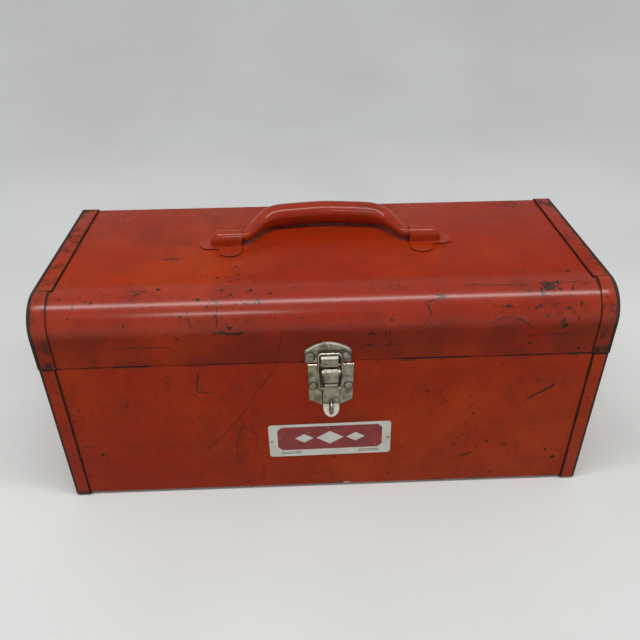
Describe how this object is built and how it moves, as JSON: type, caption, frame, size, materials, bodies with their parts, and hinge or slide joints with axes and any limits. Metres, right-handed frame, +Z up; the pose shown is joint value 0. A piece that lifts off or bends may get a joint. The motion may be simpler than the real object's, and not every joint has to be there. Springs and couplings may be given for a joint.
{
  "type": "tool box",
  "caption": "Sheet-steel carrying box with a hinged round-front lid, a folding handle, a draw latch with a padlock staple and a nameplate.",
  "frame": {"origin": "centre of the underside of the bottom sheet's pressed field, which is level with the feet of the end pans", "axes": "+X to the right along the box's length, +Y to the back where the hinge is, +Z up"},
  "size_m": [0.4844, 0.2136, 0.2337],
  "materials": {
    "enamel": "worn red-orange enamel with chips and scratches",
    "nickel": "dull nickel plate, scratched and grimy",
    "hinge_steel": "steel painted over with the box, worn bare along the knuckles",
    "nameplate": "printed silver plate with a plain red panel and lozenges"
  },
  "bodies": {
    "body": {"body_wrap": "enamel", "body_end_left": "enamel", "body_end_right": "enamel", "hinge_leaf_body": "hinge_steel", "hinge_pin": "hinge_steel", "latch_base_plate": "nickel", "latch_base_rivet_left": "nickel", "latch_base_rivet_right": "nickel", "latch_lever_pin": "nickel", "hasp_staple": "nickel", "nameplate": "nameplate", "nameplate_pin_left": "nickel", "nameplate_pin_right": "nickel"},
    "lid": {"lid_wrap": "enamel", "lid_end_left": "enamel", "lid_end_right": "enamel", "hinge_leaf_lid": "hinge_steel", "strike_plate": "nickel", "strike_rivet_left": "nickel", "strike_rivet_right": "nickel", "handle_bracket_left": "enamel", "handle_bracket_right": "enamel"},
    "handle": {"handle": "enamel"},
    "lever": {"latch_lever": "nickel"},
    "bail": {"latch_bail": "nickel"}
  },
  "joints": [
    {"name": "lid_hinge", "type": "hinge", "parent": "body", "child": "lid", "pos_m": [0, 0.09865, 0.1525], "axis": [-1, 0, 0], "range_deg": [0, 105]},
    {"name": "handle_swing", "type": "hinge", "parent": "lid", "child": "handle", "pos_m": [0.004, 0.011, 0.2184], "axis": [1, 0, 0], "range_deg": [0, 167]},
    {"name": "latch_lever_turn", "type": "hinge", "parent": "body", "child": "lever", "pos_m": [0.003, -0.103, 0.1455], "axis": [-1, 0, 0], "range_deg": [0, 140]},
    {"name": "latch_bail_turn", "type": "hinge", "parent": "lever", "child": "bail", "pos_m": [0.003, -0.1024, 0.1275], "axis": [-1, 0, 0], "range_deg": [-140, 0]}
  ],
  "couplings": [
    {"joint": "latch_bail_turn", "follows": "latch_lever_turn", "ratio": -1}
  ]
}
